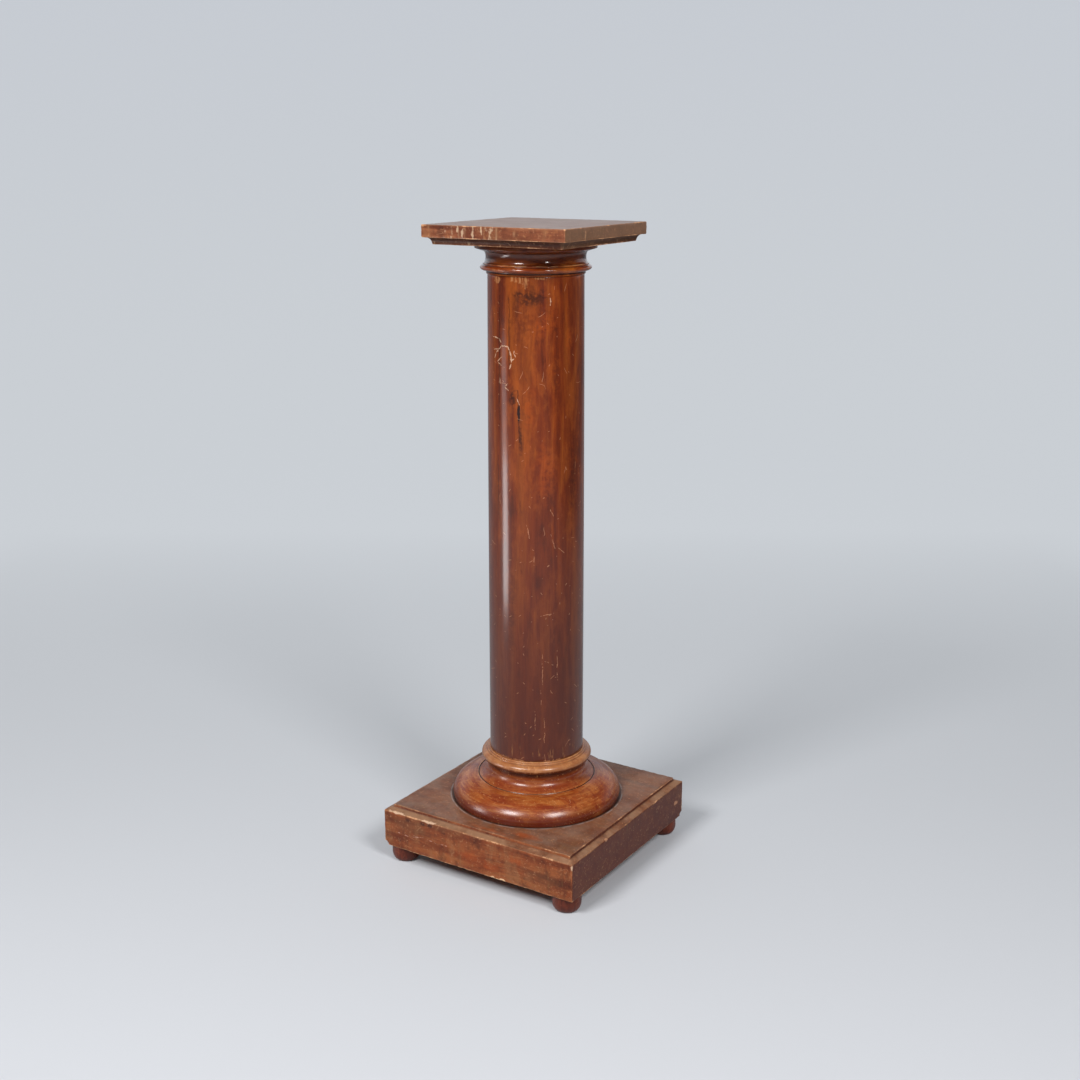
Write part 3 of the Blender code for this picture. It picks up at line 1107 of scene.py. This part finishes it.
def neck_outline():
    low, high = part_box("neck_moulding")
    fillet = SHAFT_TOP_RADIUS + NECK_FILLET_WIDTH
    bead_bottom = low.z + NECK_FILLET_HEIGHT
    bead_top = bead_bottom + NECK_BEAD_HEIGHT
    bead_middle = (bead_bottom + bead_top) / 2
    bead_radii = (NECK_BEAD_WIDTH - NECK_FILLET_WIDTH, NECK_BEAD_HEIGHT / 2)
    listel = SHAFT_TOP_RADIUS + LISTEL_WIDTH
    listel_top = bead_top + LISTEL_HEIGHT
    waist = SHAFT_TOP_RADIUS + CAVETTO_WIDTH
    waist_height = listel_top + CAVETTO_HEIGHT / 2
    lip = SHAFT_TOP_RADIUS + CAVETTO_TOP_WIDTH
    lip_height = listel_top + CAVETTO_HEIGHT
    flange = SHAFT_TOP_RADIUS + FLANGE_WIDTH
    outline = [(fillet, low.z)]
    outline += arc((fillet, bead_middle), bead_radii, -90, 60, 18)
    outline += [(listel, bead_top), (listel, listel_top)]
    outline += arc((listel, waist_height), (listel - waist, CAVETTO_HEIGHT / 2), 260, 180, 12)
    outline += arc((lip, waist_height), (lip - waist, CAVETTO_HEIGHT / 2), 180, 100, 12)[1:]
    outline += [(lip, lip_height), (flange, lip_height + FLANGE_SLOPE)]
    return outline + [(flange, high.z), (flange - FLANGE_FACE_WIDTH, high.z)]


neck = make_piece(
    "turned_neck",
    outline_mesh("neck_outline", neck_outline(), 1.1 * MM, ease=0.45 * MM),
    circle,
    neck_finish(),
    seed=3.0,
    wear=0.2 * MM,
    waves=0.15 * MM,
)
settle(neck, "neck_moulding")

# %% [markdown]
# The feet are low buns, dark and plain. The same outline makes all four, each with a wear of
# its own, and each mesh is then moved to where its solid stands.

# %% Feet: finish


def foot_finish():
    finish = Finish("foot_varnish", 0.45, 0.28)
    fine = finish.group(wood_grain, Stretch=(120.0, 120.0, 18.0), Seed=11.0)
    finish.figure(fine["Figure"], ((74, 28, 18), (118, 52, 32)))
    edges = finish.group(arris_wear_and_shade, Wear=0.6, Seed=4.0)
    scuffs = finish.mask(scattered_scratches, Cells=90.0, Length=4 * MM, Amount=0.3, Seed=6.0)
    # Painted shade in the hollows of the foot
    finish.layer(edges["Painted Shade"], (30, 12, 8), 0.8)
    finish.layer(scuffs, (160, 100, 74), 0.6)
    finish.strip(scuffs, 0.6)
    finish.strip(edges["Worn"], 0.5)
    finish.raise_by(fine["Fibre"], 0.03 * MM)
    return finish.done(0.5)


# %% Feet: shape
FOOT_SOLE_RADIUS = 14.5 * MM
FOOT_HEAD_RADIUS = 21.0 * MM
FOOT_BULGE_HEIGHT = 15.2 * MM
FOOT_FACE_WIDTH = 3 * MM


def foot_outline():
    low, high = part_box("foot_front_left")
    widest = (high.x - low.x) / 2
    sole_radii = (widest - FOOT_SOLE_RADIUS, FOOT_BULGE_HEIGHT)
    head_radii = (widest - FOOT_HEAD_RADIUS, high.z - FOOT_BULGE_HEIGHT)
    outline = [(FOOT_SOLE_RADIUS - FOOT_FACE_WIDTH, 0.0)]
    outline += arc((FOOT_SOLE_RADIUS, FOOT_BULGE_HEIGHT), sole_radii, -90, 0, 16)
    outline += arc((FOOT_HEAD_RADIUS, FOOT_BULGE_HEIGHT), head_radii, 0, 90, 10)[1:]
    return outline + [(FOOT_HEAD_RADIUS - FOOT_FACE_WIDTH, high.z)]


foot_varnish = foot_finish()
for number, corner in enumerate(("front_left", "front_right", "back_left", "back_right")):
    foot = make_piece(
        f"turned_foot_{corner}",
        outline_mesh(f"foot_outline_{corner}", foot_outline(), 1.5 * MM),
        small_circle,
        foot_varnish,
        seed=10.0 + number,
        wear=0.4 * MM,
        waves=0.3 * MM,
    )
    foot_low, foot_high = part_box(f"foot_{corner}")
    middle = (foot_low + foot_high) / 2
    foot.data.transform(Matrix.Translation((middle.x, middle.y, 0.0)))
    settle(foot, f"foot_{corner}")

# %% [markdown]
# The plinth is a thick board whose middle stands up as a field inside a sloping ledge. Knocks
# have taken bites out of its lower edge, and two of its bottom corners have worn round. Each
# bite is made by pushing the points that lie in a ragged ball out to the ball's surface, and it
# marks those points, so that the finish shows raw wood there.

# %% Bites and worn corners


def bite(mesh, bare, centre, radius, ragged=0.25):
    """Takes a ragged hollow out of an edge, and adds to the shares of bare wood."""
    middle = Vector(centre)
    for vertex in mesh.vertices:
        away = vertex.co - middle
        if away.length > radius * 1.5:
            continue
        reach = radius * (1.0 + ragged * noise.noise(vertex.co * 700.0))
        if away.length < reach:
            share = min(1.0, (reach - away.length) / (0.12 * radius))
            bare[vertex.index] = max(bare[vertex.index], share)
            vertex.co = middle + away.normalized() * reach


def round_off(mesh, corner, inward, radius, ragged=0.1):
    """Wears a corner round: points outside a ball set inside the corner come in to its surface."""
    outside = -Vector(inward)
    middle = Vector(corner) + Vector(inward) * radius
    for vertex in mesh.vertices:
        away = vertex.co - middle
        if all(a * o > -1e-6 for a, o in zip(away, outside)):
            reach = radius * (1.0 + ragged * noise.noise(vertex.co * 400.0))
            if away.length > reach:
                vertex.co = middle + away.normalized() * reach


# %% [markdown]
# The two boards share a finish: dull old varnish over a long grain, with stains that run down
# the upright faces. Painted shade in the hollows, scratches, rubbed edges and chips lie over
# all its other layers.

# %% Boards: what both finishes have


def board_finish(name, tones, stretch, seed):
    finish = Finish(name, 0.48, 0.32)
    finish.wood(
        tones=tones,
        broad=(stretch, seed),
        fine=(tuple(4.0 * s for s in stretch), seed + 1.0),
        streaks=((76, 32, 18), 0.38),
        pores=((46, 20, 12), 0.45),
        fibre=0.05 * MM,
    )
    clouds = (finish.place * (1.0, 1.0, 0.4)).noise(30.0, 5.0, 0.7)
    finish.layer(clouds.spread(0.5, 0.66), (150, 104, 68), 0.45)
    finish.layer(clouds.spread(0.48, 0.34), (66, 28, 18), 0.5)
    spots = finish.place.noise(95.0, 4.0, 0.68)
    finish.layer(spots.spread(0.54, 0.68), (60, 27, 18), 0.45)
    finish.layer(spots.spread(0.44, 0.3), (172, 112, 68), 0.35)
    return finish


def wear_board(finish, seed, wear):
    """The upper layers. Wear may be a number, or a value that changes over the board."""
    edges = finish.group(arris_wear_and_shade, Wear=wear, Grit=180.0, Seed=seed)
    scuffs = finish.mask(scattered_scratches, Cells=45.0, Length=7 * MM, Amount=0.35, Seed=seed)
    small = {"Cells": 110.0, "Length": 2 * MM, "Width": 0.5 * MM}
    nicks = finish.mask(scattered_scratches, **small, Amount=0.3, Seed=seed)
    bare = value_of(finish.tree, "ShaderNodeAttribute", output="Fac", attribute_name="bare")
    flecks = finish.place.noise(230.0, 4.0, 0.65).spread(0.58, 0.68)
    cuts = any_of(scuffs, nicks)
    # Painted shade where the outline turns inward
    finish.layer(edges["Painted Shade"], (60, 34, 22), 0.3)
    finish.layer(flecks, (186, 132, 92), 0.45)
    finish.layer(edges["Rubbed"], (168, 116, 80), 0.5)
    finish.layer(cuts, (186, 134, 100), 0.6)
    finish.layer(edges["Worn"], (218, 164, 122), 0.9)
    finish.layer(bare, (226, 176, 126))
    finish.strip(edges["Worn"], 0.9)
    finish.strip(cuts, 0.5)
    finish.strip(bare)
    finish.raise_by(cuts, -0.08 * MM)


# %% [markdown]
# The plinth's finish is the most worn. Its sides are reddish brown with old drips, a long
# crack and flecks of bare wood, its top is dull and dusty, and the ledge is rubbed pale.

# %% Plinth: finish
PLINTH_CRACK = [((-156, -176, 53), (-129, -176, 53), (-95, -176, 58), (-74, -176, 55), (-47, -176, 56))]
PLINTH_DARK = [((-128, -176, 80), (8, 6, 4)), ((-100, -176, 81), (6, 6, 5)), ((-86, -176, 82), (7, 6, 4))]
PLINTH_RED = [
    ((-10, -176, 50), (40, 6, 14)),
    ((30, -176, 44), (26, 6, 10)),
    ((75, -176, 66), (20, 6, 7)),
    ((75, -146, 95), (30, 12, 5)),
    ((20, -158, 95), (40, 8, 5)),
]
PLINTH_OLIVE = [
    ((-120, -176, 70), (60, 6, 22)),
    ((-60, -176, 84), (50, 12, 10)),
    ((120, -176, 50), (50, 6, 24)),
]
PLINTH_CHIPS = [
    ((33, -176, 27), (3.8, 6, 3.1)),
    ((51, -176, 27), (6, 6, 3.3)),
    ((41, -176, 26.6), (4, 6, 1.2)),
]
RIGHT_PATCH = [((176, 152, 57), (6, 7, 4)), ((176, -75, 87), (4, 5, 3))]
BRIGHT_ARRIS = [((-88, -176, 87), (22, 4, 2)), ((-150, -176, 87), (20, 4, 2)), ((176, -176, 82), (3, 3, 6))]
BASE_SEAT_RADIUS = 134.3 * MM
PALE_RING_OFFSET = 4.6 * MM


def plinth_finish():
    tones = ((106, 46, 22), (148, 74, 38), (170, 98, 54))
    finish = board_finish("plinth_varnish", tones, (5.0, 30.0, 42.0), 12.0)
    place = finish.place
    bent = place.wandering(5 * MM)
    normal = normal_of(finish.tree)
    level = normal.z.spread(0.6, 0.9)
    # The side on the right is painted darker and plum, a painted shade on that side, and what faces up has
    # lost its red
    finish.layer(normal.x.spread(0.6, 0.9), (80, 30, 18), 0.8)
    finish.layer(level, (100, 68, 48), 0.55)
    finish.layer(finish.mask(dust_and_sheen, Amount=0.5), (156, 134, 118), 0.7)
    # The sloping ledge is rubbed paler than the rest, in long uneven stretches
    uneven = place.noise(14.0, 4.0, 0.6).spread(0.36, 0.6)
    finish.layer(level * normal.z.spread(0.985, 0.965) * uneven, (164, 124, 92), 0.62)
    finish.layer(patches(bent, PLINTH_OLIVE, 0.4, 50.0, 0.95), (112, 74, 48), 0.4)
    finish.layer(patches(bent, PLINTH_RED, 0.4, 60.0, 0.95), (170, 76, 28), 0.5)
    finish.layer(patches(bent, PLINTH_DARK, 0.35, 90.0, 0.8), (50, 26, 24), 0.7)
    finish.layer(finish.mask(drips, Density=95.0, Amount=0.5), (132, 104, 66), 0.7)
    # The step round the field and the side on the right have kept more of their varnish
    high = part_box("plinth")[1]
    wear = place.z.spread(high.z - 2.6 * MM, high.z - 1.4 * MM, 0.5, 0.36)
    kept = place.x.spread(high.x - 14 * MM, high.x - 3 * MM, 1.0, 0.8)
    wear_board(finish, 12.0, wear * kept)
    finish.layer(patches(bent, BRIGHT_ARRIS, 0.5, 160.0, 0.5), (226, 190, 158), 0.75)
    finish.layer(patches(place, PLINTH_CHIPS, 0.16, 260.0, 0.2), (240, 196, 152), 0.95)
    # Painted contact shadow in the corner under the base moulding, and a pale grey ring just outside it
    off = maths("SQRT", place.x * place.x + place.y * place.y) - BASE_SEAT_RADIUS
    finish.layer(off.spread(4.5 * MM, 1.5 * MM) * level, (30, 20, 18), 0.85)
    ring = abs(off - PALE_RING_OFFSET).spread(1.6 * MM, 0.4 * MM)
    finish.layer(ring * place.noise(60.0).spread(0.35, 0.6) * level, (158, 152, 150), 0.55)
    crack = strokes(bent, PLINTH_CRACK, 1.0)
    finish.layer(crack * place.noise(190.0).spread(0.4, 0.55), (214, 164, 140), 0.8)
    finish.layer(patches(bent, RIGHT_PATCH, 0.4, 200.0), (206, 148, 108), 0.7)
    finish.raise_by(crack, -0.3 * MM)
    return finish.done(0.35)


# %% Plinth: shape
LEDGE_WIDTH = 11.1 * MM
LEDGE_RISE = 3.7 * MM
FIELD_STEP = 4.2 * MM
BOARD_FACE_WIDTH = 20 * MM
WORN_CORNER_RADIUS = 7 * MM
BITES = (((33, -177, 25.4), 2.4), ((49.5, -177, 25.2), 2.8), ((54, -177, 25.4), 2.2))


def plinth_outline():
    low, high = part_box("plinth")
    side = high.x
    edge = high.z - FIELD_STEP - LEDGE_RISE
    field = side - LEDGE_WIDTH
    return [
        (side - BOARD_FACE_WIDTH, low.z),
        (side, low.z),
        (side, edge),
        (field, edge + LEDGE_RISE),
        (field, high.z),
        (field - BOARD_FACE_WIDTH, high.z),
    ]


plinth = make_piece(
    "moulded_plinth",
    outline_mesh("plinth_outline", plinth_outline(), 1.6 * MM, ease=0.9 * MM),
    square,
    plinth_finish(),
    seed=4.0,
    wear=0.9 * MM,
    nibbles=220.0,
    waves=0.35 * MM,
)
plinth_low, plinth_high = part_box("plinth")
half = plinth_high.x
for side in (-1, 1):
    corner = (side * half, side * half, plinth_low.z)
    round_off(plinth.data, corner, (-side, -side, 1), WORN_CORNER_RADIUS)
bare = np.zeros(len(plinth.data.vertices), np.float32)
for place, radius in BITES:
    bite(plinth.data, bare, mm(place), radius * MM)
add_values(plinth.data, "bare", bare)
settle(plinth, "plinth")

# %% [markdown]
# The top board is thinner, with a cove run under its edge, and lies turned a little on the
# neck. Its front edge is rubbed and dripped on, and its top is brown under thin dust and a
# painted pale sheen. Its cove is painted dark, as shade under the edge.

# %% Top board: finish
BOARD_DRIPS = [
    ((-98, -120.6, 1000), (-98, -120.6, 990)),
    ((-64, -120.6, 1000), (-65, -120.6, 980)),
    ((-14, -120.6, 1000), (-13, -120.6, 986)),
    ((-75, -120.6, 999), (-77, -120.6, 984)),
    ((-55, -120.6, 999), (-55, -120.6, 988)),
    ((-45, -120.6, 999), (-45, -120.6, 982)),
    ((-28, -120.6, 1000), (-28, -120.6, 978)),
    ((-6, -120.6, 999), (0, -120.6, 990)),
    ((5, -120.6, 999), (0, -120.6, 990), (2, -118, 974)),
]
BOARD_TAN = [((120.6, -62, 988), (4, 3, 7)), ((-116, -120.6, 999), (9, 6, 3))]


def top_finish():
    tones = ((106, 52, 32), (136, 76, 48), (158, 98, 66))
    finish = board_finish("top_varnish", tones, (5.0, 34.0, 60.0), 20.0)
    place = finish.place
    normal = normal_of(finish.tree)
    finish.layer(normal.x.spread(0.6, 0.9), (122, 90, 62), 0.7)
    # What faces up is painted greyer, and the dust on it pale grey: partly dust, partly a painted reflection
    # of the pale backdrop that the top mirrors
    finish.layer(normal.z.spread(0.6, 0.9), (124, 92, 74), 0.7)
    finish.layer(finish.mask(dust_and_sheen, Amount=0.5), (176, 160, 148), 0.8)
    # Painted shade in the cove under the overhanging edge, less of it on the right side
    under = heights_of(finish, "top_board")(11, 9)
    finish.layer(under, (70, 32, 16), 0.7)
    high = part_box("top_board")[1]
    at_right = under * place.x.spread(high.x - 16 * MM, high.x - 10 * MM)
    finish.layer(at_right, (122, 88, 66), 0.7)
    finish.strip(under, 0.7)
    finish.layer(finish.mask(drips, Density=130.0, Amount=0.8), (186, 150, 112), 0.7)
    wear_board(finish, 20.0, 0.48)
    runs = strokes(place.wandering(7 * MM), BOARD_DRIPS, 3.0)
    finish.layer(runs * place.noise(170.0, 3.0).spread(0.34, 0.56), (206, 174, 142), 0.7)
    finish.layer(patches(place.wandering(4 * MM), BOARD_TAN, 0.4, 200.0), (206, 152, 108), 0.7)
    return finish.done(0.7)


# %% Top board: shape
TOP_BOARD_SIDE = 241.2 * MM
TOP_BOARD_TURN = radians(1.27)
TOP_FACE_WIDTH = 16 * MM
COVE_LEDGE = 4.3 * MM
COVE_WIDTH = 6.9 * MM
COVE_HEIGHT = 10.1 * MM


def top_outline():
    low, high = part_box("top_board")
    side = TOP_BOARD_SIDE / 2
    cove = arc((side - COVE_LEDGE, low.z), (-COVE_WIDTH, COVE_HEIGHT), 0, 90, 14)
    edge = [(side, low.z + COVE_HEIGHT), (side, high.z), (side - TOP_FACE_WIDTH, high.z)]
    return [(side - COVE_LEDGE - BOARD_FACE_WIDTH, low.z)] + cove + edge


board = make_piece(
    "moulded_top_board",
    outline_mesh("top_outline", top_outline(), 1.2 * MM),
    square,
    top_finish(),
    seed=5.0,
    wear=0.8 * MM,
    waves=0.3 * MM,
)
board.data.transform(Matrix.Rotation(TOP_BOARD_TURN, 4, "Z"))
settle(board, "top_board")

# %% [markdown]
# The stage is a pale floor that curves up into a wall all round, so that every view has a
# plain background. The same tree runs its outline round a circle. It isn't part of the object.
# A studio has one wide sweep of paper and is dark on both sides of it. The dark sides matter
# for gloss, as they keep pale reflections off the round shaft. So rays other than the camera's
# find paper only in a strip, and the camera sees an even paper everywhere.

# %% Stage: paper
PAPER_RIGHT_EDGE = 2.1
PAPER_LEFT_EDGE = -3.2
EDGE_SOFTNESS = 0.3


def mixed(tree, share, first, second):
    """A colour between two others, each a value or three linear parts."""
    first, second = (c if isinstance(c, Value) else (*c, 1.0) for c in (first, second))
    return value_of(tree, "ShaderNodeMix", {0: share, 6: first, 7: second}, 2, data_type="RGBA")


def stage_finish():
    material = bpy.data.materials.new("studio_paper")
    material.use_nodes = True
    tree = material.node_tree
    shader = tree.nodes["Principled BSDF"].inputs
    shader["Roughness"].default_value = 0.9
    shader["Specular IOR Level"].default_value = 0.1
    place = value_of(tree, "ShaderNodeTexCoord", output="Object")
    seen = value_of(tree, "ShaderNodeLightPath", output="Is Camera Ray")
    across = place.dot(tuple(direction(CAMERA_AZIMUTH + pi / 2)))
    right_edge = across.spread(PAPER_RIGHT_EDGE + EDGE_SOFTNESS, PAPER_RIGHT_EDGE - EDGE_SOFTNESS)
    left_edge = across.spread(PAPER_LEFT_EDGE - EDGE_SOFTNESS, PAPER_LEFT_EDGE + EDGE_SOFTNESS)
    lit = mixed(tree, right_edge * left_edge, (0.2, 0.2, 0.21), (0.52, 0.53, 0.55))
    # Far from the pedestal and behind it, the paper glows by itself, so that it stays even
    behind = place.dot(tuple(-direction(CAMERA_AZIMUTH)))
    away = place.length()
    rising = maths("MULTIPLY", behind + 0.6, 0.385, clamp=True)
    far = any_of(rising * away.spread(0.14, 0.36), away.spread(0.7, 2.6))
    near = mixed(tree, far, (0.62, 0.635, 0.665), (0.09, 0.09, 0.09))
    height = place.z
    # Every ray finds the lit stretch of the wall behind, which the top of the board mirrors
    lit_wall = height.spread(0.7, 1.0) * height.spread(2.8, 2.0) * behind.spread(0.5, 2.0)
    ends = {
        "Base Color": mixed(tree, seen, lit, near),
        "Emission Color": mixed(tree, height.spread(0.0, 2.5), (0.545, 0.575, 0.61), (0.52, 0.55, 0.6)),
        "Emission Strength": far * any_of(seen, lit_wall),
    }
    for name, value in ends.items():
        tree.links.new(value.socket, shader[name])
    return material


# %% Stage: floor and wall
FLOOR_CENTRE = 0.4
FLOOR_RADIUS = 3.0
SWEEP_RADIUS = 1.6
WALL_HEIGHT = 4.2


def stage_outline():
    sweep = arc((FLOOR_RADIUS, SWEEP_RADIUS), (SWEEP_RADIUS, SWEEP_RADIUS), -90, 0, 24)
    return [(0.0, 0.0), (FLOOR_CENTRE, 0.0)] + sweep + [(FLOOR_RADIUS + SWEEP_RADIUS, WALL_HEIGHT)]


stage_mesh = bpy.data.meshes.new("stage_outline")
stage_mesh.from_pydata([(radius, 0.0, height) for radius, height in stage_outline()], [], [])
studio = make_piece("studio", stage_mesh, circle, stage_finish(), seed=0.0)
print("the stage is", 2 * (FLOOR_RADIUS + SWEEP_RADIUS), "m across")

# %% [markdown]
# Two soft boxes stand in front, one on each side, well above the pedestal. They make the pairs
# of highlights on the round members and the two soft shadows behind. Low lights to the left
# show only as the upright line of light on the shaft, and a small window as the glint on the
# neck. The rest is what the paper gives back.

# %% Lights


def add_soft_box(name, azimuth, distance, height, size, watts, aim):
    """A soft box on the floor plan at an azimuth and a distance, turned towards the axis."""
    data = bpy.data.lights.new(name, "AREA")
    data.shape = "RECTANGLE"
    data.size = size[0]
    data.size_y = size[1]
    data.energy = watts
    light = bpy.data.objects.new(name, data)
    light.location = direction(radians(azimuth)) * distance + UP * height
    light.rotation_mode = "QUATERNION"
    light.rotation_quaternion = (light.location - UP * aim).to_track_quat("Z", "Y")
    light.visible_camera = False
    bpy.context.scene.collection.objects.link(light)
    return light


add_soft_box("soft_box_left", -9, 2.5, 2.6, (0.95, 0.95), 82, aim=0.5)
add_soft_box("soft_box_right", 62, 2.5, 2.45, (0.9, 0.9), 60, aim=0.5)
for name, azimuth, distance, height, size, watts in (
    ("low_light", -44, 1.1, 0.27, (0.27, 0.34), 2.4),
    ("low_light_upper", -47, 1.1, 0.56, (0.26, 0.3), 0.6),
    ("window", 58, 2.5, 1.72, (0.24, 0.3), 9.0),
):
    small = add_soft_box(name, azimuth, distance, height, size, watts, aim=height)
    small.visible_diffuse = False

world = bpy.data.worlds.new("soft_room")
bpy.context.scene.world = world
world.use_nodes = True
back = world.node_tree.nodes["Background"].inputs
back["Color"].default_value = (0.93, 0.96, 1.0, 1.0)
back["Strength"].default_value = 0.16
bpy.context.scene.view_settings.view_transform = "Standard"
print("lights:", [light.name for light in bpy.data.objects if light.type == "LIGHT"])

# %% [markdown]
# Last, the plans, which were only helpers, are removed.

# %% Removing the plans
for plan in plans:
    bpy.data.objects.remove(plan)
